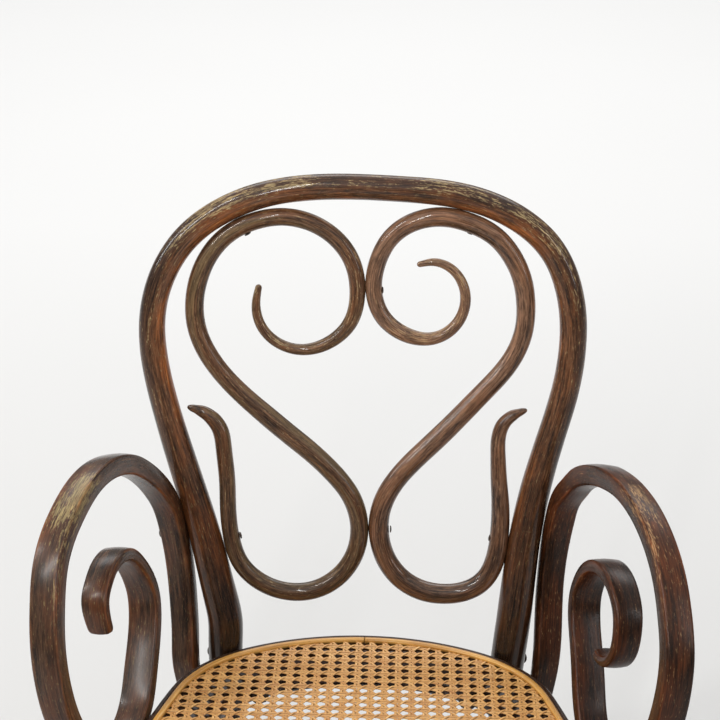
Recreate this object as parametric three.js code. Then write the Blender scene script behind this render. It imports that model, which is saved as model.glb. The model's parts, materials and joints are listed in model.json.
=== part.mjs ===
// Bentwood rocking armchair: a bent back bow with two mirrored S-scrolls, two volute arms,
// a caned seat frame, four legs, a stretcher hoop and two curved runners.
// Millimetres, Z up, the front of the chair faces -Y, the floor is z = 0.
import * as THREE from "three";

// ---- driving dimensions -------------------------------------------------------------
const SEAT_HEIGHT = 435; // top of the seat frame at the middle of the seat
const SEAT_TILT = THREE.MathUtils.degToRad(4); // rear edge lower than the front edge
const SEAT_REAR_RADIUS = 232; // outer edge of the seat frame behind the sitter
const SEAT_REAR_TURN = 30.5;
const SEAT_CORNER_RADIUS = 132;
const SEAT_SIDE_TURN = 44.9; // leaves the sides splayed 14.6 degrees, like the arms
const SEAT_SHIFT = -2.5; // the seat and the base sit a little to the left of the bow
const SEAT_SIDE_LENGTH = 214;
const SEAT_FRONT_CORNER_RADIUS = 80;
const SEAT_FRONT_RADIUS = 700;
const FRAME_WIDTH = 52;
const FRAME_THICKNESS = 30;
const FRAME_ROUNDING = 8;
const SHELF_DROP = 3.6; // rebate that carries the cane and its binding strip
const SHELF_INSET = 24; // inside this the top of the frame slopes away under the cane
const SLOPE_DROP = 11;
const SPLINE_OUTER_INSET = 5;
const SPLINE_WIDTH = 6;
const SPLINE_HEIGHT = 4.6;
const CANE_THICKNESS = 2.6;
const GAP = 0.3; // clearance between neighbouring pieces

const BACK_Y = 213; // back plane at the height of the seat
const BACK_LEAN = Math.atan(0.257);

// each arm plane: distance from the middle of the chair, splay to the front, outward lean
const ARM_PLANE_LEFT = [218.2, THREE.MathUtils.degToRad(14.6), THREE.MathUtils.degToRad(9.9)];
const ARM_PLANE_RIGHT = [210.2, THREE.MathUtils.degToRad(13.8), THREE.MathUtils.degToRad(7.7)];

const RUNNER_RADIUS = 1050;
const RUNNER_CONTACT_Y = 84; // under the centre of mass
const RUNNER_CONTACT_X = 205.5;
const RUNNER_TOE = THREE.MathUtils.degToRad(5);
const RUNNER_WIDTH = 26;
const RUNNER_THICKNESS = 28;
const RUNNER_FRONT = 432; // arc length ahead of and behind the contact
const RUNNER_REAR = 438;
const RUNNER_FACET = 44; // flat of the contact facet

const HOOP_RADIUS = 234.5;
const HOOP_ROD = 9.5;
const HOOP_HEIGHT = 270;
const STRETCHER_ROD = 11;
const STRETCHER_FRONT = -366; // arc length along the runners from the contact
const STRETCHER_REAR = 350;

const POST_HALF_SPACING = 138; // rear posts where they pass the seat frame
const POST_Y = 208;
const POST_RADIUS = 16.6;
const POST_BOLT_DROP = 31; // below the top of the seat frame

const BOW_RINGS = 92;
const BOW_SIDES = 12;
const SCROLL_RINGS = 76;
const ARM_RINGS = 72;
const WOOD_SIDES = 8;
const SCREW_SIDES = 8;

// turned fastener shapes: [radius, height] from the seated face outwards
const WOOD_SCREW = [[5.2, 0], [4.8, 1.6], [2.6, 2.9]];
const RUNNER_SCREW = [[6, 0], [5.6, 1.8], [3, 3.4]];
const SCROLL_SCREW = [[3.4, 0], [3.2, 0.7], [1.8, 1.5]];
const BOLT_HEAD = [[8, 0], [7.6, 1.6], [5.6, 3.4], [2.4, 4.4]];
const WASHER = [[9, 0], [9, 1.4]];
const NUT = [[6.6, 0], [6.6, 5]];

// ---- bent shapes: [across, up, rod radius] in the back plane --------------------------
const BOW = [
  [-136, 7, 16.6], [-142, 38, 16.3], [-156, 95, 15.2], [-175, 158, 14.0], [-193, 218, 13.0],
  [-203.5, 265, 12.7], [-205, 308, 12.4], [-194, 348, 12.3], [-172, 381, 12.3],
  [-143, 403.5, 12.2], [-103, 420.5, 12.1], [-60, 428, 12.1], [-16, 429.5, 12.0],
  [29, 428, 12.0], [73, 424, 12.1], [116, 411.5, 12.3], [145, 394.5, 12.4], [166, 373, 12.5],
  [180, 344, 12.6], [186.5, 313, 12.7], [187, 280, 12.8], [182, 243, 13.0], [170, 197, 13.4],
  [156, 142, 14.4], [146.5, 84, 15.4], [142, 38, 16.3], [139, 7, 16.6],
];
// rear legs below the seat: [distance from the middle, y, height above the floor, radius]
const REAR_LEG = [
  [136, 209, 415, 16.4], [134, 206, 375, 16.0], [138.5, 205.5, 328, 15.4],
  [151, 213, 264, 14.5], [167, 227.5, 190, 13.8], [181, 244, 115, 13.3], [190, 260, 51, 13.0],
];
const SCROLL_LEFT = [
  [-172, 219, 2.0], [-164, 217, 4.6], [-154, 212, 6.6], [-144.5, 203, 7.6], [-138, 178, 7.9],
  [-135, 150, 7.9], [-134, 122, 7.9], [-130.5, 92, 8.0], [-122, 68, 8.2], [-104, 50, 8.4],
  [-79, 40.5, 8.6], [-51, 42.5, 8.8], [-27.5, 57, 8.9], [-12.5, 81, 8.8], [-9.5, 109, 8.8],
  [-18, 136, 9.0], [-35, 158, 9.3], [-55, 177, 9.5], [-76, 194, 9.6], [-96, 210.5, 9.6],
  [-116, 227.5, 9.3], [-135, 246, 9.0], [-152, 268, 8.9], [-163, 292, 8.9], [-166, 318, 8.8],
  [-161, 344, 8.8], [-149.5, 366.5, 8.7], [-132, 384, 8.5], [-110.5, 394.5, 8.4],
  [-86, 399, 8.3], [-60, 394.5, 8.2], [-37, 380.5, 8.0], [-20.5, 358, 7.8], [-15.4, 332, 7.5],
  [-21, 304, 7.0], [-40, 284, 6.2], [-66, 276, 5.4], [-91, 284, 5.0], [-106, 303, 4.7],
  [-108.5, 319, 4.0], [-106, 335, 3.0],
];
const SCROLL_RIGHT = [
  [146, 222.5, 2.0], [138, 219.5, 4.4], [130, 214, 6.0], [123.5, 206, 6.7], [120.5, 192, 7.0],
  [121, 173, 7.4], [122.3, 153, 7.9], [124, 134, 8.6], [124.6, 114, 9.0], [123.6, 94, 9.2],
  [119, 71, 9.3], [110, 55, 9.4], [95, 45, 9.5], [74, 41, 9.6], [54, 43.5, 9.7],
  [38, 51, 9.8], [20, 70, 9.9], [10.8, 96, 9.8], [12, 124, 9.7], [23.5, 149, 9.7],
  [40, 169.5, 9.7], [61, 191, 9.7], [87, 218.5, 9.5], [107, 240.5, 9.3], [123, 259, 9.2],
  [135, 278.5, 9.1], [141.5, 299, 9.0], [142.5, 322, 9.0], [138.5, 345, 9.1], [128.5, 366, 9.2],
  [111.5, 385, 9.3], [89, 396.5, 9.3], [65, 401.5, 9.2], [40, 397.5, 8.9], [18, 383, 8.5],
  [5.5, 361, 8.2], [1.4, 336, 7.9], [9, 310.5, 7.8], [30, 293, 7.2], [57, 289, 6.0],
  [79, 303.5, 5.5], [86, 331, 5.0], [73.5, 353, 4.4], [57, 359.5, 3.8], [42, 357, 2.7],
];
// arm volutes: [back, up, width, thickness] in the plane of each arm's inner face
const ARM_LEFT = [
  [201, -88, 20, 12], [199, -50, 21, 15], [203, -22, 22, 17], [212, -4, 22, 17.6],
  [220.5, 17, 22, 18], [229, 44, 22, 18.4], [235.5, 80, 22, 18.6], [235.5, 104, 22, 18.6],
  [231, 128, 21.5, 18.6], [219, 151, 21, 18.6], [204, 170, 20, 18.6], [187.5, 186.5, 19, 18.6],
  [171.5, 199.5, 19, 18.6], [153.5, 210, 20, 18.6], [127, 220, 22, 18.6], [87, 224.7, 24, 18.6],
  [42, 217, 25, 18.6], [18, 208.5, 25, 18.6], [-8, 190, 25, 18.5], [-21.5, 171.5, 25, 18.4],
  [-38, 139, 25, 18], [-45, 102, 25.3, 17.4], [-40.5, 62, 25.7, 16.6], [-21, 24, 26.2, 15.6],
  [11, -4, 26.7, 14.6], [49, -13, 27, 13.8], [86, -3, 27, 13.2], [113, 22, 27, 12.9],
  [133, 45, 26.5, 12.7], [142.7, 59.5, 26.5, 12.6], [148.8, 77.5, 26.5, 12.4],
  [146.3, 97, 26, 12], [135.3, 119.5, 25, 11.6], [119, 137.5, 24, 11.2], [103, 143.7, 23, 10.8],
  [90.5, 144.8, 22.5, 10.4], [76, 142.3, 22, 10], [62.5, 135.5, 22, 9.7], [53.5, 127.5, 22, 9.5],
  [50, 116.5, 21, 9.3], [49, 103, 20, 9.1], [49.5, 98, 19, 8.8],
];
const ARM_RIGHT = [
  [199, -88, 20, 12], [196, -50, 21, 15], [201, -14, 23, 17], [221.5, 35, 23, 18.4],
  [234, 88, 22, 19], [234, 123, 22, 19], [229, 143, 21.5, 19], [217.5, 158.5, 21, 19],
  [200.5, 178.5, 20, 19], [181, 193.5, 20, 19], [160, 205, 21, 18.6], [149, 210, 21.5, 18.2],
  [127, 217.5, 22, 17.4], [104, 223, 22.5, 16.8], [81.5, 225.5, 23, 16.5],
  [56.5, 225.3, 23.5, 16.5], [30, 221.3, 24, 16.6], [2, 212.3, 24.5, 17],
  [-23.5, 198, 24.8, 17.6], [-42, 181.5, 25, 18], [-61, 157, 25.2, 18.4], [-68, 135, 25.4, 18.2],
  [-69, 103, 25.8, 17.6], [-59, 62, 26, 16.8], [-34, 25, 26.4, 15.8], [1, -3, 26.7, 14.8],
  [42, -12, 27, 13.8], [80, 4, 27, 13], [105, 34, 26.5, 12.4], [127.5, 59.5, 26, 12],
  [138.5, 72, 26.5, 11.8], [145, 91, 26.5, 11.6], [141.2, 109, 26, 11.5],
  [135, 120.6, 25.5, 11.5], [118, 136, 25, 11.5], [99.5, 143.4, 24.5, 11.5],
  [80.3, 145.2, 24, 11.5], [63.7, 142, 23.5, 11.4], [50, 135.6, 23, 11.2], [40.5, 125.6, 22.5, 11],
  [35.7, 112.5, 22, 10.6], [35, 100, 21.5, 10.2], [42, 86, 21, 9.8], [55, 77, 20.5, 9.4],
  [72, 75, 20, 9],
];
// front legs: [distance from the middle, y, height above the floor, radius]
const FRONT_LEG = [
  [215, -113, 404.5, 17], [217, -118, 380, 17], [220.5, -131, 290, 15.5],
  [224, -146, 190, 14], [226.5, -157, 105, 13], [227.5, -165, 67, 12.5],
];

// ---- materials --------------------------------------------------------------------------
const darkWood = () => new THREE.MeshStandardMaterial({ color: 0x46301f, roughness: 0.42, metalness: 0 });
const scrollWood = () => new THREE.MeshStandardMaterial({ color: 0x5a4331, roughness: 0.4, metalness: 0 });
const armWood = () => new THREE.MeshStandardMaterial({ color: 0x4b3626, roughness: 0.45, metalness: 0 });
const caneFibre = () => new THREE.MeshStandardMaterial({ color: 0xc8985a, roughness: 0.6, metalness: 0 });
const screwSteel = () => new THREE.MeshStandardMaterial({ color: 0x77706a, roughness: 0.35, metalness: 1 });

// ---- curves -------------------------------------------------------------------------------
// second derivatives of the natural cubic spline through values at the knots
function splineSlopes(knots, values) {
  const last = knots.length - 1;
  const ratio = new Array(last + 1).fill(0);
  const bend = new Array(last + 1).fill(0);
  for (let i = 1; i < last; i += 1) {
    const before = knots[i] - knots[i - 1];
    const after = knots[i + 1] - knots[i];
    const jump = (values[i + 1] - values[i]) / after - (values[i] - values[i - 1]) / before;
    const pivot = 2 * (before + after) - before * ratio[i - 1];
    ratio[i] = after / pivot;
    bend[i] = (6 * jump - before * bend[i - 1]) / pivot;
  }
  for (let i = last - 1; i > 0; i -= 1) {
    bend[i] -= ratio[i] * bend[i + 1];
  }
  return bend;
}

function splineValue(knots, values, bend, at) {
  let i = 0;
  while (i < knots.length - 2 && at > knots[i + 1]) {
    i += 1;
  }
  const step = knots[i + 1] - knots[i];
  const a = (knots[i + 1] - at) / step;
  const b = (at - knots[i]) / step;
  const curve = ((a ** 3 - a) * bend[i] + (b ** 3 - b) * bend[i + 1]) * (step * step / 6);
  return a * values[i] + b * values[i + 1] + curve;
}

// evenly spaced rows on the smooth curve through rows of numbers; the first `axes` are a position
function smoothRows(rows, axes, count) {
  const knots = [0];
  for (let i = 1; i < rows.length; i += 1) {
    const chord = Math.hypot(...rows[i].slice(0, axes).map((value, k) => value - rows[i - 1][k]));
    knots.push(knots[i - 1] + chord);
  }
  const columns = rows[0].map((_, k) => rows.map((row) => row[k]));
  const bends = columns.map((values) => splineSlopes(knots, values));
  const end = knots[knots.length - 1];
  return Array.from({ length: count }, (_, i) => {
    const at = (end * i) / (count - 1);
    return columns.map((values, k) => splineValue(knots, values, bends[k], at));
  });
}

// ---- solids -------------------------------------------------------------------------------
// closes a stack of equal rings of points into one body: either a loop or a rod with two ends
function skin(rings, closed) {
  const sides = rings[0].length;
  const points = rings.flat();
  const index = [];
  const bands = closed ? rings.length : rings.length - 1;
  for (let i = 0; i < bands; i += 1) {
    const here = i * sides;
    const next = ((i + 1) % rings.length) * sides;
    for (let j = 0; j < sides; j += 1) {
      const k = (j + 1) % sides;
      index.push(here + j, here + k, next + k, here + j, next + k, next + j);
    }
  }
  if (!closed) {
    const first = points.length;
    points.push(middle(rings[0]), middle(rings[rings.length - 1]));
    const lastRing = (rings.length - 1) * sides;
    for (let j = 0; j < sides; j += 1) {
      const k = (j + 1) % sides;
      index.push(first, k, j, first + 1, lastRing + j, lastRing + k);
    }
  }
  const geometry = new THREE.BufferGeometry();
  geometry.setAttribute("position", new THREE.Float32BufferAttribute(points.flatMap((p) => p.toArray()), 3));
  geometry.setIndex(index);
  geometry.computeVertexNormals();
  return geometry;
}

function middle(ring) {
  return ring.reduce((sum, p) => sum.add(p), new THREE.Vector3()).divideScalar(ring.length);
}

function tangents(path, closed) {
  const count = path.length;
  return path.map((_, i) => {
    const before = closed ? path[(i + count - 1) % count] : path[Math.max(i - 1, 0)];
    const after = closed ? path[(i + 1) % count] : path[Math.min(i + 1, count - 1)];
    return after.clone().sub(before).normalize();
  });
}

// a round rod along a path; the ends are rounded over with one small ring each
function rod(path, radii, sides, side, closed = false) {
  const along = tangents(path, closed);
  const ring = (centre, direction, radius) => {
    const across = new THREE.Vector3().crossVectors(side, direction).normalize();
    const upward = new THREE.Vector3().crossVectors(direction, across);
    return Array.from({ length: sides }, (_, j) => {
      const angle = (2 * Math.PI * (j + 0.5)) / sides;
      return centre.clone()
        .addScaledVector(across, radius * Math.cos(angle))
        .addScaledVector(upward, radius * Math.sin(angle));
    });
  };
  const rings = path.map((p, i) => ring(p, along[i], radii[i]));
  if (!closed) {
    const last = path.length - 1;
    const roundOver = 0.6;
    const headStart = path[0].clone().addScaledVector(along[0], -0.4 * radii[0]);
    const headEnd = path[last].clone().addScaledVector(along[last], 0.4 * radii[last]);
    rings.unshift(ring(headStart, along[0], roundOver * radii[0]));
    rings.push(ring(headEnd, along[last], roundOver * radii[last]));
  }
  return skin(rings, closed);
}

// a flat-sided strip bent in its own XZ plane, with chamfered edges; `reach` is the share of the
// width that lies on the -Y side of that plane
function strip(rows, chamfer, reach) {
  const path = rows.map(([back, up]) => new THREE.Vector3(back, 0, up));
  const along = tangents(path, false);
  const lateral = new THREE.Vector3(0, 1, 0);
  return skin(path.map((p, i) => {
    const radial = new THREE.Vector3().crossVectors(lateral, along[i]);
    const near = -reach * rows[i][2];
    const far = near + rows[i][2];
    const halfDepth = rows[i][3] / 2;
    const corners = [
      [far, halfDepth - chamfer], [far - chamfer, halfDepth],
      [near + chamfer, halfDepth], [near, halfDepth - chamfer],
      [near, chamfer - halfDepth], [near + chamfer, -halfDepth],
      [far - chamfer, -halfDepth], [far, chamfer - halfDepth],
    ];
    return corners.map(([w, d]) => p.clone().addScaledVector(lateral, w).addScaledVector(radial, -d));
  }), false);
}

// outline of the seat frame, moved inwards by `inset`: one arc after another around the seat
function seatOutline(inset) {
  const rad = THREE.MathUtils.degToRad;
  const sideHeading = rad(SEAT_REAR_TURN + SEAT_SIDE_TURN);
  const points = [];
  let x = 0;
  let y = SEAT_REAR_RADIUS - inset;
  let heading = 0;
  const arc = (radius, turn, steps) => {
    for (let i = 0; i < steps; i += 1) {
      points.push([x, y]);
      const next = heading + turn / steps;
      x += radius * (Math.sin(next) - Math.sin(heading));
      y -= radius * (Math.cos(heading) - Math.cos(next));
      heading = next;
    }
  };
  arc(SEAT_REAR_RADIUS - inset, rad(SEAT_REAR_TURN), 5);
  arc(SEAT_CORNER_RADIUS - inset, rad(SEAT_SIDE_TURN), 6);
  for (const step of [0, 1 / 2]) {
    const reach = step * SEAT_SIDE_LENGTH;
    points.push([x + reach * Math.cos(sideHeading), y - reach * Math.sin(sideHeading)]);
  }
  x += SEAT_SIDE_LENGTH * Math.cos(sideHeading);
  y -= SEAT_SIDE_LENGTH * Math.sin(sideHeading);
  const cornerRadius = SEAT_FRONT_CORNER_RADIUS - inset;
  const frontRadius = SEAT_FRONT_RADIUS - inset;
  const frontTurn = Math.asin((x - cornerRadius * Math.sin(sideHeading)) / (frontRadius - cornerRadius));
  arc(cornerRadius, Math.PI - frontTurn - sideHeading, 9);
  arc(frontRadius, frontTurn, 3);
  points.push([0, y]);
  const otherHalf = points.slice(1, -1).reverse().map(([px, py]) => [-px, py]);
  return [...points, ...otherHalf];
}

// a frame following the seat outline; the section is a list of [inset, height]
function seatLoop(section) {
  const outlines = section.map(([inset, height]) => (
    seatOutline(inset).map(([px, py]) => new THREE.Vector3(px, py, height))
  ));
  const rings = outlines[0].map((_, i) => outlines.map((outline) => outline[i].clone()));
  return skin(rings, true);
}

// a flat plate inside the seat outline
function seatPlate(inset, top, thickness) {
  const level = (height) => seatOutline(inset).map(([px, py]) => new THREE.Vector3(px, py, height));
  return skin([level(top), level(top - thickness)], false);
}

// a turned piece: [radius, height] pairs from bottom to top, flat below and on top
function turned(profile, sides) {
  const rings = profile.map(([radius, height]) => (
    Array.from({ length: sides }, (_, j) => {
      const angle = (2 * Math.PI * j) / sides;
      return new THREE.Vector3(radius * Math.cos(angle), radius * Math.sin(angle), height);
    })
  ));
  return skin(rings, false);
}

function add(parent, name, geometry, material) {
  const mesh = new THREE.Mesh(geometry, material);
  mesh.name = name;
  parent.add(mesh);
  return mesh;
}

// ---- assembly -------------------------------------------------------------------------------
const chair = new THREE.Group();
chair.name = "rocking_chair";
const sideAxis = new THREE.Vector3(1, 0, 0);
const facing = new THREE.Vector3(0, -1, 0);

// back bow and rear legs: one long bent rod
const inBack = ([x, up, radius]) => [
  x, BACK_Y + up * Math.sin(BACK_LEAN), SEAT_HEIGHT + up * Math.cos(BACK_LEAN), radius,
];
const legRow = (side) => ([x, y, z, radius], i) => [
  side * x + SEAT_SHIFT * Math.min(1, i / 4), y, z, radius,
];
const bowRows = smoothRows([
  ...REAR_LEG.map(legRow(-1)).reverse(), ...BOW.map(inBack), ...REAR_LEG.map(legRow(1)),
], 3, BOW_RINGS);
add(chair, "back_bow", rod(
  bowRows.map(([x, y, z]) => new THREE.Vector3(x, y, z)),
  bowRows.map((row) => row[3]), BOW_SIDES, facing,
), darkWood());

// the two scrolls lie in the plane of the back
const back = new THREE.Group();
back.position.set(0, BACK_Y, SEAT_HEIGHT);
back.rotation.x = -BACK_LEAN;
chair.add(back);
for (const [name, shape] of [["scroll_left", SCROLL_LEFT], ["scroll_right", SCROLL_RIGHT]]) {
  const rows = smoothRows(shape, 2, SCROLL_RINGS);
  const path = rows.map(([x, up]) => new THREE.Vector3(x, 0, up));
  add(back, name, rod(path, rows.map((row) => row[2]), WOOD_SIDES, facing), scrollWood());
}

// seat: frame with a rebate, woven cane, binding strip
const seat = new THREE.Group();
seat.position.set(SEAT_SHIFT, 0, SEAT_HEIGHT);
seat.rotation.x = -SEAT_TILT;
chair.add(seat);
const soft = FRAME_ROUNDING * 0.3;
add(seat, "seat_frame", seatLoop([
  [0, -FRAME_ROUNDING], [soft, -soft], [SPLINE_OUTER_INSET - GAP, 0],
  [SPLINE_OUTER_INSET - GAP, -SHELF_DROP], [SHELF_INSET, -SHELF_DROP],
  [FRAME_WIDTH - 4, -SLOPE_DROP], [FRAME_WIDTH, -SLOPE_DROP - 5],
  [FRAME_WIDTH - FRAME_ROUNDING, -FRAME_THICKNESS], [FRAME_ROUNDING, -FRAME_THICKNESS],
  [0, FRAME_ROUNDING - FRAME_THICKNESS],
]), darkWood());
const splineInner = SPLINE_OUTER_INSET + SPLINE_WIDTH;
const shelf = -SHELF_DROP + GAP;
add(seat, "seat_binding", seatLoop([
  [SPLINE_OUTER_INSET, shelf], [SPLINE_OUTER_INSET, shelf + SPLINE_HEIGHT - 2],
  [SPLINE_OUTER_INSET + 1.6, shelf + SPLINE_HEIGHT], [splineInner - 1.6, shelf + SPLINE_HEIGHT],
  [splineInner, shelf + SPLINE_HEIGHT - 2], [splineInner, shelf],
]), caneFibre());
add(seat, "cane_web", seatPlate(splineInner + GAP, shelf + CANE_THICKNESS, CANE_THICKNESS), caneFibre());

// arms: each volute is bent flat, then leaned outwards and splayed towards the front
for (const [name, side, [foot, splay, lean], shape] of [
  ["arm_left", -1, ARM_PLANE_LEFT, ARM_LEFT], ["arm_right", 1, ARM_PLANE_RIGHT, ARM_RIGHT],
]) {
  const plane = new THREE.Group();
  plane.position.set(side * foot, 0, SEAT_HEIGHT);
  plane.rotation.z = Math.PI / 2 + side * splay;
  chair.add(plane);
  const volute = new THREE.Group();
  volute.rotation.x = side * lean;
  plane.add(volute);
  const rows = smoothRows(shape, 2, ARM_RINGS);
  add(volute, name, strip(rows, 3, (side + 1) / 2), armWood());
  for (const [label, u, v, width] of [
    ["post", 235, 96, 22.1], ["foot", 198.5, -62, 20.9], ["frame", 46, -12, 27],
  ]) {
    const screw = add(volute, `screw_${name}_${label}`, turned(WOOD_SCREW, SCREW_SIDES), screwSteel());
    screw.position.set(u, -side * (width + GAP), v);
    screw.rotation.x = side * Math.PI / 2;
  }
}

// front legs stand between the seat frame and the runners
for (const [name, side] of [["front_leg_left", -1], ["front_leg_right", 1]]) {
  const rows = smoothRows(FRONT_LEG.map(([x, ...row]) => [side * x + SEAT_SHIFT, ...row]), 3, 9);
  const path = rows.map(([x, y, z]) => new THREE.Vector3(x, y, z));
  add(chair, name, rod(path, rows.map((row) => row[3]), WOOD_SIDES, facing), darkWood());
}

// runners: bent strips, flat for a short length where they meet the floor
const runnerRows = [];
const runnerPoint = (reach) => {
  const angle = reach / RUNNER_RADIUS;
  const radius = RUNNER_RADIUS - RUNNER_THICKNESS / 2;
  return [radius * Math.sin(angle), RUNNER_RADIUS - radius * Math.cos(angle)];
};
const runnerEnd = (reach, limit) => Math.min(1, 0.62 + Math.abs(limit - Math.abs(reach)) / 110);
const frontSteps = 16;
const rearSteps = 18;
for (let i = -frontSteps; i <= rearSteps; i += 1) {
  const limit = i < 0 ? RUNNER_FRONT : RUNNER_REAR;
  const steps = i < 0 ? frontSteps : rearSteps;
  const beyond = (Math.abs(i) - 1) / (steps - 1);
  const reach = Math.sign(i) * (RUNNER_FACET / 2 + beyond * (limit - RUNNER_FACET / 2));
  const slim = runnerEnd(reach, limit);
  if (i !== 0) {
    const [along, up] = runnerPoint(reach);
    runnerRows.push([along, up, RUNNER_WIDTH * (0.5 + slim / 2), RUNNER_THICKNESS * slim]);
  }
}
for (const [name, side] of [["left", -1], ["right", 1]]) {
  const plane = new THREE.Group();
  plane.position.set(side * RUNNER_CONTACT_X + SEAT_SHIFT, RUNNER_CONTACT_Y, 0);
  plane.rotation.z = Math.PI / 2 + side * RUNNER_TOE;
  chair.add(plane);
  add(plane, `runner_${name}`, strip(runnerRows, 3.5, 0.5), darkWood());
  for (const [label, reach] of [["front", STRETCHER_FRONT], ["rear", STRETCHER_REAR]]) {
    const [along, up] = runnerPoint(reach);
    const screw = add(plane, `screw_runner_${name}_${label}`, turned(RUNNER_SCREW, SCREW_SIDES),
      screwSteel());
    screw.position.set(along, -side * (RUNNER_WIDTH / 2 + GAP), up);
    screw.rotation.x = side * Math.PI / 2;
  }
}
for (const [name, reach] of [
  ["front_stretcher", STRETCHER_FRONT], ["rear_stretcher", STRETCHER_REAR],
]) {
  const [along, up] = runnerPoint(reach);
  const y = RUNNER_CONTACT_Y + along * Math.cos(RUNNER_TOE);
  const half = RUNNER_CONTACT_X - along * Math.sin(RUNNER_TOE)
    - (RUNNER_WIDTH / 2) / Math.cos(RUNNER_TOE) - 1.4 - 0.4 * STRETCHER_ROD;
  const stations = [-1, -0.5, 0, 0.5, 1];
  const path = stations.map((t) => new THREE.Vector3(t * half + SEAT_SHIFT, y, up));
  const radii = stations.map((t) => STRETCHER_ROD - 1.5 * Math.abs(t) ** 3);
  add(chair, name, rod(path, radii, WOOD_SIDES, facing), darkWood());
}

// stretcher hoop inside the four legs
const hoopSteps = 36;
const hoopPath = Array.from({ length: hoopSteps }, (_, i) => {
  const angle = (2 * Math.PI * i) / hoopSteps;
  return new THREE.Vector3(
    HOOP_RADIUS * Math.cos(angle) + SEAT_SHIFT, HOOP_RADIUS * Math.sin(angle), HOOP_HEIGHT,
  );
});
add(chair, "stretcher_hoop", rod(
  hoopPath, hoopPath.map(() => HOOP_ROD), WOOD_SIDES, new THREE.Vector3(0, 0, 1), true,
), darkWood());
for (const [name, x, y] of [
  ["rear_left", -152.5, 212.5], ["rear_right", 152.5, 212.5],
  ["front_left", -222, -134], ["front_right", 222, -134],
]) {
  const angle = Math.atan2(y, x);
  const reach = HOOP_RADIUS - HOOP_ROD - GAP;
  const screw = add(chair, `screw_hoop_${name}`, turned(WOOD_SCREW, SCREW_SIDES), screwSteel());
  screw.position.set(reach * Math.cos(angle) + SEAT_SHIFT, reach * Math.sin(angle), HOOP_HEIGHT);
  screw.rotation.set(0, -Math.PI / 2, angle, "ZYX");
}

// bolts that hold the rear posts to the seat frame: domed head outside, washer and nut inside
for (const [name, side] of [["left", -1], ["right", 1]]) {
  const bolt = new THREE.Group();
  const across = side * POST_HALF_SPACING - SEAT_SHIFT;
  bolt.position.set(SEAT_SHIFT, 0, SEAT_HEIGHT - POST_BOLT_DROP);
  bolt.rotation.z = Math.atan2(POST_Y, across);
  chair.add(bolt);
  const place = (label, profile, reach, turn, sides) => {
    const piece = add(bolt, `${label}_post_${name}`, turned(profile, sides), screwSteel());
    piece.position.x = reach;
    piece.rotation.y = turn * Math.PI / 2;
  };
  const postOuter = Math.hypot(across, POST_Y) + POST_RADIUS + GAP;
  const frameInner = SEAT_REAR_RADIUS - FRAME_WIDTH - 3.2;
  place("bolt", BOLT_HEAD, postOuter, 1, 12);
  place("washer", WASHER, frameInner, -1, 12);
  place("nut", NUT, frameInner - WASHER[1][1] - GAP, -1, 6);
}

// small screws where the scrolls meet each other and the bow
for (const [name, x, up, toward] of [
  ["pair_upper", 10.4, 333, 180], ["pair_lower", 21.9, 104, 180],
  ["bow_upper_left", -116.2, 381.9, 120], ["bow_lower_left", -121.2, 95, 196],
  ["bow_upper_right", 89, 386.2, 75], ["bow_lower_right", 114.2, 98, -14],
]) {
  const angle = THREE.MathUtils.degToRad(toward);
  const screw = add(back, `screw_scroll_${name}`, turned(SCROLL_SCREW, SCREW_SIDES), screwSteel());
  screw.position.set(x, 0, up);
  screw.rotation.set(0, -Math.PI / 2 - angle, 0);
}

// the part's own origin: on the floor, under the middle of its outline
const box = new THREE.Box3().setFromObject(chair, true);
chair.position.set(-(box.min.x + box.max.x) / 2, -(box.min.y + box.max.y) / 2, -box.min.z);

export default chair;
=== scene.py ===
"""Bentwood rocking armchair: fine surfaces, materials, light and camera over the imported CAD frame.
Metres, Z up, the front of the chair faces -Y."""
import json
import math

import bpy
import numpy as np
from mathutils import Matrix, Vector


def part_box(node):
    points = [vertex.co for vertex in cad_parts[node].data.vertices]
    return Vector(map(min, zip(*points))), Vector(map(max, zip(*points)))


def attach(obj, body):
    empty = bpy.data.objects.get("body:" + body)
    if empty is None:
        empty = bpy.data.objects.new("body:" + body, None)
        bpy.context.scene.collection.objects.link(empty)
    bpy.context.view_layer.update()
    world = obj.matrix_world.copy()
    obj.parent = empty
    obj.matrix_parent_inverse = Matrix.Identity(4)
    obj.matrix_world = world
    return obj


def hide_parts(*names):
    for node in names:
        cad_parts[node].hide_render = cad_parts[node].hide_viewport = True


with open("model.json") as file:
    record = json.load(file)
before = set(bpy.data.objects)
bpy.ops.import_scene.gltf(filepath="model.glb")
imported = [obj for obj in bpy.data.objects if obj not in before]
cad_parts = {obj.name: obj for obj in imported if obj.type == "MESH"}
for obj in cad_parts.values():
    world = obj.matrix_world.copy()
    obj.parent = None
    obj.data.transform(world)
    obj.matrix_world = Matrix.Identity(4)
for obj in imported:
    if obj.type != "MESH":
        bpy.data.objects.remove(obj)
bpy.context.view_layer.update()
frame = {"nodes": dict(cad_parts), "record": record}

MM = 0.001
TAU = 2 * math.pi
ROD_WAVER = 0.12 * MM  # how far hand-bent rods and strips stray from an even section
STRIP_WAVER = 0.1 * MM


# ---- reading shapes from the CAD nodes ------------------------------------------------------
def node_mesh(name):
    """Vertices of a CAD node with doubles merged, and the neighbours of each."""
    mesh = frame["nodes"][name].data
    co = np.empty(len(mesh.vertices) * 3)
    mesh.vertices.foreach_get("co", co)
    co = co.reshape(-1, 3)
    keys, first, merged = np.unique(np.round(co, 6), axis=0, return_index=True, return_inverse=True)
    merged = merged.reshape(-1)
    near = [set() for _ in keys]
    for poly in mesh.polygons:
        ids = [int(merged[i]) for i in poly.vertices]
        for a, b in zip(ids, ids[1:] + ids[:1]):
            if a != b:
                near[a].add(b)
                near[b].add(a)
    return co[first], near


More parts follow.
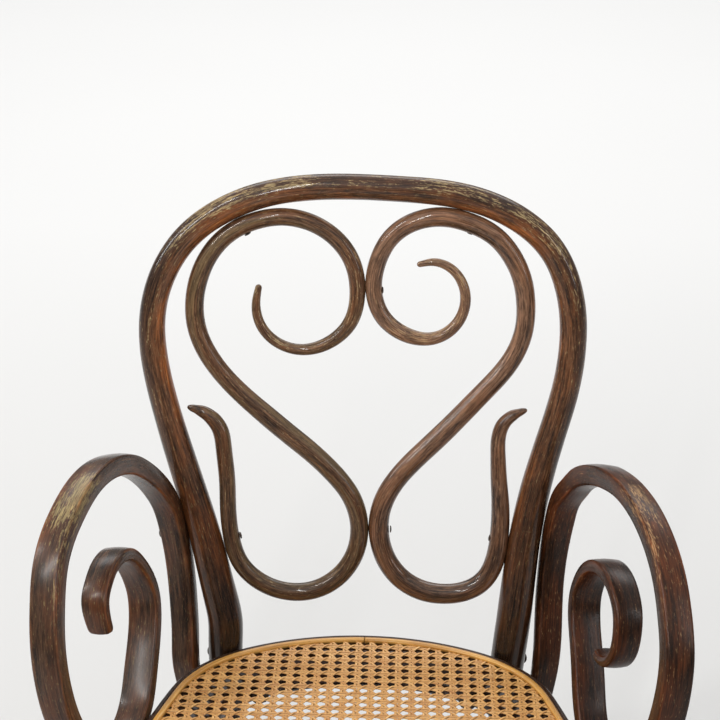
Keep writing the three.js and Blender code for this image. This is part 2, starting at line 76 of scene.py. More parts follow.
def rings_of(name):
    """The rings of a rod or strip, in order from one end to the other, and the two end points."""
    co, near = node_mesh(name)
    most = max(len(n) for n in near)
    poles = [i for i, n in enumerate(near) if len(n) == most]
    start = poles[0]
    seen = {start}
    layer = {start}
    rings = []
    while True:
        layer = {j for i in layer for j in near[i]} - seen
        if not layer:
            break
        seen |= layer
        rings.append(co[sorted(layer)])
    return rings[:-1], co[start], rings[-1][0]


def cumulative(points):
    """Distance along a path at each of its points."""
    steps = np.linalg.norm(np.diff(points, axis=0), axis=1)
    return np.concatenate([[0.0], np.cumsum(steps)])


def spline(knots, values, at):
    """Natural cubic spline through values (rows) at the knots."""
    values = np.asarray(values, float)
    if values.ndim == 1:
        values = values[:, None]
    n = len(knots)
    h = np.diff(knots)
    matrix = np.zeros((n, n))
    right = np.zeros((n, values.shape[1]))
    matrix[0, 0] = matrix[-1, -1] = 1.0
    for i in range(1, n - 1):
        matrix[i, i - 1:i + 2] = h[i - 1], 2 * (h[i - 1] + h[i]), h[i]
        right[i] = 6 * ((values[i + 1] - values[i]) / h[i] - (values[i] - values[i - 1]) / h[i - 1])
    bend = np.linalg.solve(matrix, right)
    k = np.clip(np.searchsorted(knots, at, side="right") - 1, 0, n - 2)
    step = h[k][:, None]
    a = ((knots[k + 1] - at) / h[k])[:, None]
    b = 1 - a
    out = a * values[k] + b * values[k + 1]
    out += ((a ** 3 - a) * bend[k] + (b ** 3 - b) * bend[k + 1]) * step ** 2 / 6
    return out[:, 0] if out.shape[1] == 1 else out


def unit(v):
    """The vectors scaled to length one."""
    return v / np.linalg.norm(v, axis=-1, keepdims=True)


def directions(path, closed=False):
    """The direction of travel at each point of a path."""
    if closed:
        return unit(np.roll(path, -1, 0) - np.roll(path, 1, 0))
    return unit(np.gradient(path, axis=0))


def smooth(lo, hi, x):
    """A soft step from 0 at lo to 1 at hi; lo may be the larger."""
    t = np.clip((np.asarray(x, float) - lo) / (hi - lo), 0, 1)
    return t * t * (3 - 2 * t)


def wobble(s, seed, wave):
    """A slow, fixed irregularity along a length, about -1 to 1."""
    phase = seed * 1.7
    return (np.sin(TAU * s / wave + phase) + 0.6 * np.sin(TAU * s / (wave * 0.43) + 2.3 * phase)
            + 0.4 * np.sin(TAU * s / (wave * 0.19) + 3.9 * phase)) / 2


# ---- building meshes ------------------------------------------------------------------------
def mesh_object(name, vertices, faces, values=None, smooth_faces=True):
    """A mesh in the scene, with point attributes from values."""
    mesh = bpy.data.meshes.new(name)
    mesh.from_pydata([tuple(v) for v in vertices], [], [tuple(f) for f in faces])
    mesh.update()
    for key, data in (values or {}).items():
        data = np.asarray(data, float)
        vector = data.ndim == 2
        layer = mesh.attributes.new(key, "FLOAT_VECTOR" if vector else "FLOAT", "POINT")
        layer.data.foreach_set("vector" if vector else "value", data.astype(np.float32).ravel())
    if smooth_faces:
        mesh.polygons.foreach_set("use_smooth", [True] * len(mesh.polygons))
    obj = bpy.data.objects.new(name, mesh)
    bpy.context.scene.collection.objects.link(obj)
    return obj


def tube_faces(rings, sides, closed):
    """Faces between rings of points, with end caps unless the tube closes on itself."""
    i = np.arange(rings if closed else rings - 1)[:, None]
    j = np.arange(sides)[None, :]
    a = i * sides + j
    b = i * sides + (j + 1) % sides
    ni = (i + 1) % rings
    quads = np.stack([a, b, ni * sides + (j + 1) % sides, ni * sides + j], -1).reshape(-1, 4)
    faces = quads.tolist()
    if not closed:
        faces.append(list(range(sides - 1, -1, -1)))
        last = (rings - 1) * sides
        faces.append([last + k for k in range(sides)])
    return faces


def end_stations(length, round_a, round_b, step):
    """Distances along a rod, closer together where its ends are rounded over."""
    quarter = np.array([0.0, 0.02, 0.08, 0.2, 0.38, 0.6, 0.8])
    body = np.arange(round_a, length - round_b, step)
    return np.unique(np.round(np.concatenate([
        quarter * round_a, body, [length - round_b], length - quarter * round_b]), 7))


def end_inset(s, length, round_a, round_b):
    """How far a rounded end draws in at each distance."""
    inset = np.zeros_like(s)
    for distance, r in ((s, round_a), (length - s, round_b)):
        x = np.clip(1 - distance / r, 0, 1)
        inset += r * (1 - np.sqrt(np.maximum(0, 1 - x * x)))
    return inset


def fuller_nose(radius, distance, reach):
    """A tapered tip made fuller over its last stretch, like the nose of an egg."""
    full = 0.88 * radius[int(np.argmin(np.abs(distance - reach)))]
    back = np.clip(1 - distance / reach, 0, 1)
    nose = full * np.sqrt(1 - back ** 2)
    return np.where(distance < reach, np.maximum(radius, nose), radius)


def join_piece(obj, slot, material, *nodes):
    """Gives a piece its material and its body, and hides the CAD nodes it stands for. slot is not used."""
    obj.data.materials.append(material)
    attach(obj, "root")
    if nodes:
        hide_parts(*nodes)
    return obj


def rod_piece(name, node, slot, material, sides=32, step=3 * MM, round_ends=(None, None),
              marks=None, seed=0.0, settle=None, rub=None, noses=(0, 0)):
    """A round bent rod rebuilt smooth along the centreline of its CAD node. marks and rub say where
    it is worn and rubbed, settle moves the centreline, and noses are the lengths of fuller tips."""
    rings, pole_a, pole_b = rings_of(node)
    centres = np.array([r.mean(0) for r in rings])
    radii = np.array([np.linalg.norm(r - r.mean(0), axis=1).mean() for r in rings])
    if centres[0][0] > centres[-1][0]:
        centres, radii, pole_a, pole_b = centres[::-1], radii[::-1], pole_b, pole_a
    centres = np.vstack([pole_a, centres[1:-1], pole_b])
    if settle:
        centres = settle(centres)
    radii = np.concatenate([[radii[1]], radii[1:-1], [radii[-2]]])
    knots = cumulative(centres)
    length = knots[-1]
    round_a = round_ends[0] or radii[0]
    round_b = round_ends[1] or radii[-1]
    s = end_stations(length, max(round_a, noses[0]), max(round_b, noses[1]), step)
    path = spline(knots, centres, s)
    radius = np.interp(s, knots, radii) + ROD_WAVER * wobble(s, seed + 1, 0.21)
    radius = np.maximum(radius - end_inset(s, length, round_a, round_b), 0.05 * MM)
    for distance, reach in ((s, noses[0]), (length - s, noses[1])):
        if reach:
            radius = fuller_nose(radius, distance, reach)
    along = directions(path)
    across = unit(np.cross((0.0, -1.0, 0.0), along))
    upward = np.cross(along, across)
    angle = TAU * np.arange(sides) / sides
    u = radius[:, None] * np.cos(angle)
    v = radius[:, None] * np.sin(angle)
    points = path[:, None] + u[..., None] * across[:, None] + v[..., None] * upward[:, None]
    normals = unit(points - path[:, None])
    grain = np.stack([np.repeat((s + seed)[:, None], sides, 1), u, v], -1)
    wear = marks(points, normals, s / length) if marks else np.zeros(u.shape)
    edge = rub(points, normals) if rub else np.zeros(u.shape)
    values = {"grain": grain.reshape(-1, 3), "wear": wear.ravel(), "edge": edge.ravel()}
    obj = mesh_object(name, points.reshape(-1, 3), tube_faces(len(s), sides, False), values)
    return join_piece(obj, slot, material, node)


def rounded_section(near, far, half, radius, corner=5, flat=4, crown=0.0):
    """Points round a rounded rectangle, and how near each is to a corner (0 to 1)."""
    points = []
    edge = []
    middle = (near + far) / 2
    width = (far - near) / 2
    spots = [(1, 1, 0), (-1, 1, 90), (-1, -1, 180), (1, -1, 270)]
    for n, (sx, sy, start) in enumerate(spots):
        cx = middle + sx * (width - radius)
        cy = sy * (half - radius)
        for k in range(corner + 1):
            a = math.radians(start + 90 * k / corner)
            points.append((cx + radius * math.cos(a), cy + radius * math.sin(a)))
            edge.append(math.sin(math.pi * (k + 0.5) / (corner + 1)))
        nx, ny, _ = spots[(n + 1) % 4]
        ex, ey = middle + nx * (width - radius), ny * (half - radius)
        tail = points[-1]
        head = (ex + radius * math.cos(math.radians(start + 90)),
                ey + radius * math.sin(math.radians(start + 90)))
        for k in range(1, flat):
            t = k / flat
            bulge = crown * math.sin(math.pi * t)
            points.append((tail[0] + t * (head[0] - tail[0]) + bulge * math.cos(math.radians(start + 90)),
                           tail[1] + t * (head[1] - tail[1]) + bulge * math.sin(math.radians(start + 90))))
            edge.append(0.0)
    return points, edge


def no_widening(t):
    return 0 * t, 0 * t


def strip_piece(name, node, slot, material, corner, step=3 * MM, marks=None, seed=0.0,
                round_end=2.5 * MM, round_tip=2.5 * MM, crown=0.0, steady=False, widen=no_widening):
    """A flat bent strip rebuilt with rounded edges along the centreline of its CAD node. corner is
    the radius of its edges, crown how far its faces swell, and widen adds to its two sides. A
    steady strip has no waver and stays above the bottom of its node."""
    rings, pole_a, pole_b = rings_of(node)
    means = np.array([r.mean(0) for r in rings])
    lateral = np.linalg.svd(means - means.mean(0))[2][2]
    lateral *= np.sign(lateral[0])
    if means[0][2] > means[-1][2]:
        rings, means = rings[::-1], means[::-1]
    along = directions(means)
    lo = np.array([(r @ lateral).min() for r in rings])
    hi = np.array([(r @ lateral).max() for r in rings])
    radial = unit(np.cross(lateral, along))
    half = np.array([np.abs((r - m) @ d).max() for r, m, d in zip(rings, means, radial)])
    centre = means - (means @ lateral)[:, None] * lateral
    knots = cumulative(centre)
    length = knots[-1]
    s = np.union1d(end_stations(length, round_end, round_end, step),
                   end_stations(length, round_end, round_tip, step))
    s = s[np.concatenate([[True], np.diff(s) > 0.02 * MM])]
    rows = spline(knots, np.column_stack([centre, lo, hi, half]), s)
    path, lo, hi, half = rows[:, :3], rows[:, 3], rows[:, 4], rows[:, 5]
    inset = end_inset(s, length, round_end, round_end)
    tip = end_inset(s, length, round_end, round_tip)
    waver = 0 * s if steady else STRIP_WAVER * wobble(s, seed + 2, 0.17)
    more_lo, more_hi = widen(s / length)
    lo, hi = lo + tip - waver - more_lo, hi - tip + waver + more_hi
    half = np.maximum(half - inset - waver, 0.4 * MM)
    along = directions(path)
    radial = unit(np.cross(lateral, along))
    points = []
    grain = []
    edges = []
    for i in range(len(s)):
        r = min(corner, 0.8 * half[i], 0.42 * (hi[i] - lo[i]))
        section, edge = rounded_section(lo[i], hi[i], half[i], r, crown=crown)
        for (w, d), e in zip(section, edge):
            points.append(path[i] + w * lateral + d * radial[i])
            grain.append((s[i] + seed, w, d))
            edges.append(e)
    sides = len(section)
    points = np.array(points).reshape(len(s), sides, 3)
    if steady:
        points[..., 2] = np.maximum(points[..., 2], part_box(node)[0][2])
    core = path[:, None] + ((lo + hi) / 2)[:, None, None] * lateral
    normals = unit(points - core)
    wear = marks(points, normals, s / length) if marks else np.zeros(points.shape[:2])
    values = {"grain": grain, "wear": wear.ravel(), "edge": edges}
    obj = mesh_object(name, points.reshape(-1, 3), tube_faces(len(s), sides, False), values)
    flip_if_inside_out(obj)
    return join_piece(obj, slot, material, node)


def flip_if_inside_out(obj):
    """Turns the faces of a closed mesh outwards."""
    mesh = obj.data
    mesh.calc_loop_triangles()
    volume = 0.0
    for tri in mesh.loop_triangles:
        a, b, c = (mesh.vertices[i].co for i in tri.vertices)
        volume += a.dot(b.cross(c))
    if volume < 0:
        mesh.flip_normals()


# ---- materials --------------------------------------------------------------------------------
class Shader:
    """Short names for building a node tree."""

    def __init__(self, name):
        self.material = bpy.data.materials.new(name)
        self.material.use_nodes = True
        self.tree = self.material.node_tree
        self.tree.nodes.clear()
        self.output = self.new("ShaderNodeOutputMaterial")
        self.surface = self.new("ShaderNodeBsdfPrincipled")
        self.link(self.surface.outputs[0], self.output.inputs[0])

    def new(self, kind, **settings):
        node = self.tree.nodes.new(kind)
        for key, value in settings.items():
            setattr(node, key, value)
        return node

    def link(self, source, target):
        self.tree.links.new(source, target)

    def put(self, socket, value):
        if hasattr(value, "is_output"):
            self.link(value, socket)
        else:
            socket.default_value = value

    def attribute(self, name, output="Fac"):
        return self.new("ShaderNodeAttribute", attribute_name=name).outputs[output]

    def stretch(self, vector, scale, shift=(0, 0, 0)):
        node = self.new("ShaderNodeMapping")
        self.put(node.inputs["Vector"], vector)
        node.inputs["Scale"].default_value = scale
        node.inputs["Location"].default_value = shift
        return node.outputs[0]

    def noise(self, vector, detail=4.0, rough=0.55, distortion=0.0):
        node = self.new("ShaderNodeTexNoise")
        self.put(node.inputs["Vector"], vector)
        node.inputs["Scale"].default_value = 1.0
        node.inputs["Detail"].default_value = detail
        node.inputs["Roughness"].default_value = rough
        node.inputs["Distortion"].default_value = distortion
        return node.outputs["Fac"]

    def ramp(self, factor, *stops):
        node = self.new("ShaderNodeValToRGB")
        self.put(node.inputs[0], factor)
        elements = node.color_ramp.elements
        while len(elements) < len(stops):
            elements.new(0.5)
        for element, (position, colour) in zip(elements, stops):
            element.position = position
            element.color = (colour, colour, colour, 1) if isinstance(colour, (int, float)) else (*colour, 1)
        return node.outputs[0]

    def math(self, operation, a, b=0.0, clamp=False):
        node = self.new("ShaderNodeMath", operation=operation, use_clamp=clamp)
        self.put(node.inputs[0], a)
        self.put(node.inputs[1], b)
        return node.outputs[0]

    def mix(self, factor, a, b, blend="MIX"):
        node = self.new("ShaderNodeMix", data_type="RGBA", blend_type=blend)
        self.put(node.inputs[0], factor)
        for socket, value in ((node.inputs[6], a), (node.inputs[7], b)):
            if isinstance(value, tuple):
                value = (*value, 1)
            self.put(socket, value)
        return node.outputs[2]

    def range(self, value, low, high, to_low, to_high):
        node = self.new("ShaderNodeMapRange", clamp=True)
        for socket, v in zip(node.inputs[:5], (value, low, high, to_low, to_high)):
            self.put(socket, v)
        return node.outputs[0]

    def bump(self, height, distance, strength=1.0, normal=None):
        node = self.new("ShaderNodeBump")
        node.inputs["Strength"].default_value = strength
        node.inputs["Distance"].default_value = distance
        self.put(node.inputs["Height"], height)
        if normal is not None:
            self.put(node.inputs["Normal"], normal)
        return node.outputs[0]


def srgb(r, g, b):
    """A colour given in ordinary 0 to 255 values, as the linear one that a shader takes."""
    def channel(c):
        c /= 255
        return c / 12.92 if c <= 0.04045 else ((c + 0.055) / 1.055) ** 2.4
    return tuple(channel(c) for c in (r, g, b))


def wood(name, dark, body, warm, pale, gloss=0.27, warmth=0.5, olive=None, low=0.4, seed=0.0,
         coat=0.24, haze=0.14):
    """Stained and varnished bent beech: fibres run along the bend, the varnish is mottled, the colour is
    darkened low down as painted shade, worn places show paler wood in short streaks, and edges are rubbed to
    a warmer tone."""
    sh = Shader(name)
    grain = sh.attribute("grain", "Vector")
    wear = sh.attribute("wear")
    edge = sh.attribute("edge")
    height = sh.new("ShaderNodeSeparateXYZ")
    sh.link(sh.new("ShaderNodeTexCoord").outputs["Object"], height.inputs[0])
    fibres = sh.noise(sh.stretch(grain, (120, 1100, 1100), (seed, 0, 0)), detail=3, rough=0.6)
    streaks = sh.noise(sh.stretch(grain, (24, 360, 360), (seed + 31, 0, 0)), detail=5, rough=0.66)
    bands = sh.noise(sh.stretch(grain, (4, 110, 110), (seed + 3, 0, 0)), detail=3, rough=0.5, distortion=0.4)
    blotch = sh.noise(sh.stretch(grain, (13, 36, 36), (seed + 7, 0, 0)), detail=4, rough=0.6)
    mottle = sh.noise(sh.stretch(grain, (60, 240, 240), (seed + 11, 0, 0)), detail=4, rough=0.65)
    flecks = sh.noise(sh.stretch(grain, (190, 950, 950), (seed + 17, 0, 0)), detail=3, rough=0.6)
    nicks = sh.noise(sh.stretch(grain, (560, 45, 45), (seed + 23, 0, 0)), detail=2, rough=0.6)

    mixed = sh.math("ADD", sh.math("MULTIPLY", streaks, 0.45), sh.math("MULTIPLY", bands, 0.3))
    mixed = sh.math("ADD", mixed, sh.math("MULTIPLY", fibres, 0.25))
    tone = sh.ramp(mixed, (0.42, dark), (0.495, body), (0.57, tuple(1.55 * c for c in body)))
    tone = sh.mix(sh.math("MULTIPLY", sh.range(blotch, 0.44, 0.62, 0, 1), warmth), tone, warm)
    if olive:
        tone = sh.mix(sh.math("MULTIPLY", sh.range(bands, 0.47, 0.6, 0, 1), 0.6), tone, olive)
    tone = sh.mix(sh.range(mottle, 0.34, 0.48, 0.62, 0), tone, dark)

    # a negative edge value marks where the stain has stayed deep
    tone = sh.mix(sh.range(edge, -1, 0, 0.8, 0), tone, dark)

    # wear: the mask opens where short streaks of fibre lie high
    open_grain = sh.math("ADD", sh.math("MULTIPLY", streaks, 0.38), sh.math("MULTIPLY", mottle, 0.2))
    open_grain = sh.math("ADD", open_grain, sh.math("MULTIPLY", flecks, 0.42))
    patchy = sh.math("MULTIPLY", wear, sh.range(blotch, 0.36, 0.56, 0.55, 1.15))
    worn = sh.range(sh.math("ADD", open_grain, sh.math("MULTIPLY", patchy, 0.155)), 0.6, 0.645, 0, 0.88)
    tone = sh.mix(worn, tone, sh.mix(sh.range(fibres, 0.4, 0.6, 0.7, 0), pale, tuple(0.42 * c for c in pale)))

    # rubbed edges and small light nicks
    rubbed = sh.math("MULTIPLY", sh.math("MAXIMUM", edge), sh.range(blotch, 0.42, 0.6, 0.1, 0.8))
    tone = sh.mix(sh.math("MULTIPLY", rubbed, sh.range(streaks, 0.44, 0.6, 0.1, 0.85)), tone,
                  tuple(min(1, 2.0 * c) for c in warm))
    fleck = sh.math("MULTIPLY", sh.range(flecks, 0.61, 0.68, 0, 1), sh.range(blotch, 0.4, 0.6, 0.35, 1.0))
    tone = sh.mix(sh.math("MULTIPLY", fleck, 0.6), tone, pale)
    nick = sh.math("MULTIPLY", sh.range(nicks, 0.73, 0.77, 0, 1), sh.range(mottle, 0.5, 0.6, 0, 0.8))
    tone = sh.mix(sh.math("MULTIPLY", nick, 0.6), tone, pale)
    hair = sh.noise(sh.stretch(grain, (38, 850, 850), (seed + 41, 0, 0)), detail=4, rough=0.7)
    # painted shade: the colour is darkened from 0.7 m down to the factor low at 0.42 m and below; the hair
    # streaks in the same factor are fibre
    shade = sh.math("MULTIPLY", sh.range(height.outputs[2], 0.42, 0.7, low, 1.0),
                    sh.range(hair, 0.34, 0.66, 0.42, 1.6))
    scaled = sh.new("ShaderNodeVectorMath", operation="SCALE")
    sh.link(tone, scaled.inputs[0])
    sh.link(shade, scaled.inputs["Scale"])
    tone = scaled.outputs[0]

    sh.link(tone, sh.surface.inputs["Base Color"])
    rough = sh.math("ADD", sh.range(blotch, 0.35, 0.7, gloss - 0.05, gloss + 0.12),
                    sh.math("MULTIPLY", worn, 0.22))
    sh.link(rough, sh.surface.inputs["Roughness"])
    sh.surface.inputs["Coat Weight"].default_value = coat
    sh.surface.inputs["Coat Roughness"].default_value = haze
    sh.surface.inputs["Specular IOR Level"].default_value = 0.17
    relief = sh.math("ADD", sh.math("MULTIPLY", fibres, 0.5), sh.math("MULTIPLY", worn, -0.5))
    relief = sh.math("ADD", relief, sh.math("MULTIPLY", nick, -0.8))
    first = sh.bump(relief, 0.16 * MM, 0.8)
    sh.link(sh.bump(sh.math("ADD", mottle, streaks), 0.4 * MM, 0.55, first), sh.surface.inputs["Normal"])
    return sh.material


def cane_material(name, light, mid, deep, gloss, across=900.0, sheen=0.2):
    """Split cane or reed: long glossy fibres with darker lines, small pits and uneven colour."""
    sh = Shader(name)
    grain = sh.attribute("grain", "Vector")
    shade = sh.attribute("edge")
    lines = sh.noise(sh.stretch(grain, (14, across, across)), detail=4, rough=0.6)
    patches = sh.noise(sh.stretch(grain, (22, 90, 90), (4, 0, 0)), detail=3, rough=0.55)
    pits = sh.noise(sh.stretch(grain, (260, 1300, 1300), (9, 0, 0)), detail=2)
    tone = sh.ramp(lines, (0.32, deep), (0.48, mid), (0.66, light))
    tone = sh.mix(sh.range(patches, 0.42, 0.66, 0, 0.55), tone, deep)
    tone = sh.mix(sh.range(pits, 0.66, 0.74, 0, 0.7), tone, tuple(0.3 * c for c in deep))
    # painted shade: the edge attribute darkens the sides and undersides of the woven strands
    tone = sh.mix(sh.math("MULTIPLY", shade, 0.6), tone, tuple(0.35 * c for c in deep))
    sh.link(tone, sh.surface.inputs["Base Color"])
    sh.link(sh.range(lines, 0.3, 0.7, gloss + 0.12, gloss - 0.05), sh.surface.inputs["Roughness"])
    sh.surface.inputs["Coat Weight"].default_value = sheen
    sh.surface.inputs["Coat Roughness"].default_value = 0.25
    sh.link(sh.bump(lines, 0.08 * MM, 0.8), sh.surface.inputs["Normal"])
    return sh.material


def steel_material(name):
    """Old screw steel: dull grey with patchy brown tarnish and brushed faces."""
    sh = Shader(name)
    place = sh.new("ShaderNodeTexCoord").outputs["Object"]
    stain = sh.noise(sh.stretch(place, (420, 420, 420)), detail=4, rough=0.65)
    brushed = sh.noise(sh.stretch(place, (3000, 260, 900)), detail=3)
    tone = sh.ramp(stain, (0.38, srgb(40, 29, 23)), (0.54, srgb(66, 51, 41)), (0.72, srgb(112, 98, 84)))
    sh.link(tone, sh.surface.inputs["Base Color"])
    sh.surface.inputs["Metallic"].default_value = 0.35
    sh.link(sh.range(stain, 0.35, 0.65, 0.66, 0.45), sh.surface.inputs["Roughness"])
    sh.link(sh.bump(brushed, 0.04 * MM, 0.5), sh.surface.inputs["Normal"])
    return sh.material


# low sets how deep the painted shade is on the lower parts of each wood
BOW_WOOD = wood("bow_wood", srgb(46, 32, 25), srgb(94, 64, 44), srgb(136, 78, 38), srgb(176, 152, 108),
                warmth=0.62, low=0.18, seed=1.0, coat=0.48, haze=0.08)
BASE_WOOD = wood("base_wood", srgb(36, 26, 21), srgb(72, 49, 35), srgb(98, 58, 33), srgb(150, 126, 92),
                 warmth=0.5, low=0.5, seed=5.0)
LEFT_SCROLL_WOOD = wood("left_scroll_wood", srgb(54, 39, 30), srgb(102, 74, 53), srgb(120, 74, 42),
                        srgb(172, 148, 110), warmth=0.5, olive=srgb(106, 90, 62), low=0.45, seed=2.0,
                        coat=0.45, haze=0.08)
RIGHT_SCROLL_WOOD = wood("right_scroll_wood", srgb(54, 39, 30), srgb(116, 86, 66), srgb(138, 90, 58),
                         srgb(168, 136, 100), warmth=0.55, low=0.45, seed=3.0, coat=0.62, haze=0.08)
LEFT_ARM_WOOD = wood("left_arm_wood", srgb(38, 28, 23), srgb(72, 51, 37), srgb(112, 62, 31),
                     srgb(160, 140, 94), warmth=0.55, low=0.6, seed=4.0, coat=0.4, haze=0.24)
RIGHT_ARM_WOOD = wood("right_arm_wood", srgb(28, 18, 13), srgb(56, 33, 20), srgb(98, 50, 23),
                      srgb(176, 140, 98), warmth=0.6, low=0.45, seed=6.0, coat=0.16, haze=0.28)
SEAT_CANE = cane_material("seat_cane", srgb(240, 192, 122), srgb(222, 166, 94), srgb(178, 116, 54), 0.4)
BINDING_REED = cane_material("binding_reed", srgb(238, 188, 104), srgb(220, 162, 78), srgb(172, 116, 50),
                             0.34, across=700.0, sheen=0.3)
OLD_STEEL = steel_material("old_steel")

# ---- back: bow and scrolls ---------------------------------------------------------------------
back_low, back_high = (np.array(v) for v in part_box("back_bow"))
middle_x = (back_low[0] + back_high[0]) / 2


def bow_wear(points, normals, t):
    """Pale streaks on the upper outside of both shoulders, thinner over the top."""
    height = points[..., 2]
    across = (points[..., 0] - middle_x) / (back_high[0] - middle_x)
    top = smooth(back_high[2] - 0.2, back_high[2] - 0.06, height)
    left = smooth(-0.98, -0.7, across) * smooth(-0.08, -0.3, across)
    right = smooth(0.05, 0.3, across) * smooth(0.92, 0.66, across)
    upper = smooth(0.05, 0.55, normals[..., 2] + 0.25 * np.sign(across) * normals[..., 0])
    low_streak = smooth(0.5, 0.9, np.abs(across)) * smooth(0.1, 0.5, -normals[..., 1])
    return top * upper * (0.3 + 0.34 * left + 0.28 * right) + 0.2 * low_streak


BOW_BEND_DROP = 0.22  # the bend of the bow is round a point this far below its top


def bow_rub(points, normals):
    """The inside of the bend is rubbed to a warmer brown, and the outside has stayed dark."""
    inward = np.array([middle_x, 0, back_high[2] - BOW_BEND_DROP]) - points
    inward[..., 1] = 0
    facing = np.sum(normals * unit(inward), -1)
    height = points[..., 2]
    rubbed = 0.9 * smooth(-0.15, 0.6, facing) * smooth(back_high[2] - 0.4, back_high[2] - 0.2, height)
    upper = smooth(back_high[2] - 0.35, back_high[2] - 0.12, height)
    return rubbed - 0.85 * smooth(0.0, 0.65, -facing) * upper


BOW_SETTLE = 2.0 * MM
SCROLL_SETTLE = 2.2 * MM
PAIR_DRAW_LEFT = 0.2 * MM  # at the foot; the upper contact is drawn in further
PAIR_DRAW_UPPER = 1.0 * MM
PAIR_DRAW_RIGHT = 0.6 * MM


def settle_bow(points):
    """The bow closes down a little onto the tops of the scrolls."""
    points = np.array(points, float)
    points[..., 2] -= BOW_SETTLE * smooth(0.42, 0.47, points[..., 2])
    return points


def settle_scroll(points):
    """The scrolls are drawn down at the foot and in toward each other where they are screwed."""
    points = np.array(points, float)
    x, z = points[..., 0] - middle_x, points[..., 2]
    upper = smooth(0.6, 0.68, z)
    near = smooth(0.09, 0.02, np.abs(x))
    draw = np.where(x < 0, PAIR_DRAW_LEFT + PAIR_DRAW_UPPER * upper, -PAIR_DRAW_RIGHT)
    points[..., 0] = points[..., 0] + near * draw
    points[..., 2] = z - SCROLL_SETTLE * (1 - 0.8 * smooth(0.72, 0.8, z))
    return points


rod_piece("back_bow_bent", "back_bow", "frame_wood", BOW_WOOD, sides=36, round_ends=(1.5 * MM, 1.5 * MM),
          marks=bow_wear, rub=bow_rub, seed=0.3, settle=settle_bow)


def scroll_wear(curl_end, amount):
    """Pale streaks toward the tip of the curl, and a little on top of the lower loop."""
    def marks(points, normals, t):
        toward = np.abs(np.asarray(t) - curl_end)
        curl = smooth(0.27, 0.12, toward)[:, None]
        low = smooth(back_low[2] + 0.56, back_low[2] + 0.47, points[..., 2])
        upper = smooth(-0.4, 0.7, normals[..., 2])
        return amount * curl * (0.4 + 0.6 * upper) + 0.3 * low * smooth(0.2, 0.9, normals[..., 2]) + 0.12
    return marks


rod_piece("scroll_left_bent", "scroll_left", "scroll_wood", LEFT_SCROLL_WOOD, sides=28,
          marks=scroll_wear(1, 0.35), seed=4.1, step=2.5 * MM, settle=settle_scroll,
          noses=(10 * MM, 0))
rod_piece("scroll_right_bent", "scroll_right", "scroll_wood", RIGHT_SCROLL_WOOD, sides=28,
          marks=scroll_wear(0, 0.75), seed=8.2, step=2.5 * MM, settle=settle_scroll,
          noses=(0, 10 * MM))


# ---- arms ----------------------------------------------------------------------------------------
def arm_wear(side, patch, trail, strength):
    """The top outer front of the arm, where the hand rests, is rubbed pale; below it the wear
    narrows to the inner edge. patch and trail are (start, end) as fractions of the length."""
    def marks(points, normals, t):
        t = np.asarray(t)[:, None]
        outer = smooth(-0.1, 0.45, 0.6 * normals[..., 2] - normals[..., 1])
        off = -side * (points[..., 0] - points[..., 0].mean(1, keepdims=True)) / (12 * MM)
        wide = smooth(patch[0] - 0.012, patch[0] + 0.012, t) * smooth(patch[1] + 0.02, patch[1] - 0.015, t)
        narrow = smooth(trail[0] - 0.02, trail[0] + 0.02, t) * smooth(trail[1], trail[0], t)
        narrow = narrow * smooth(0.1, 0.6, off) * smooth(1.15, 0.85, off)
        across = smooth(-1.1, 0.2, off)
        return outer * np.maximum(strength * wide * (0.55 + 0.45 * across), 0.8 * narrow)
    return marks


def left_arm_width(t):
    """The left arm is a little wider on its inner side, most of all round the inner curl."""
    return 0 * t, 1 * MM + 1.8 * MM * smooth(0.68, 0.76, t)


def right_arm_width(t):
    """The right arm is wider on both sides, round the inner curl and where it rises at the rear."""
    wide = smooth(0.68, 0.76, t) + smooth(0.12, 0.2, t) * smooth(0.34, 0.28, t)
    return 1.3 * MM * wide, 1.2 * MM * wide


ARM_CORNER = 2.8 * MM
ARM_TIP = 5 * MM
ARM_CROWN = 0.8 * MM
strip_piece("arm_left_bent", "arm_left", "arm_wood", LEFT_ARM_WOOD, ARM_CORNER, seed=1.9,
            round_tip=ARM_TIP, crown=ARM_CROWN, widen=left_arm_width,
            marks=arm_wear(-1, (0.37, 0.435), (0.42, 0.56), 0.92))
strip_piece("arm_right_bent", "arm_right", "arm_wood", RIGHT_ARM_WOOD, ARM_CORNER, seed=5.7,
            round_tip=ARM_TIP, crown=ARM_CROWN, widen=right_arm_width,
            marks=arm_wear(1, (0.345, 0.4), (0.35, 0.53), 0.62))

# ---- base ----------------------------------------------------------------------------------------
for side, seed in (("left", 11.0), ("right", 13.0)):
    rod_piece(f"front_leg_{side}_turned", f"front_leg_{side}", "frame_wood", BASE_WOOD,
              round_ends=(1.5 * MM, 1.5 * MM), seed=seed)
    strip_piece(f"runner_{side}_bent", f"runner_{side}", "frame_wood", BASE_WOOD, 5 * MM, step=6 * MM,
                seed=seed + 0.5, round_end=5 * MM, steady=True)
for node, seed in (("front_stretcher", 15.0), ("rear_stretcher", 16.0)):
    rod_piece(f"{node}_rod", node, "frame_wood", BASE_WOOD, step=6 * MM, round_ends=(1.2 * MM, 1.2 * MM),
              seed=seed)


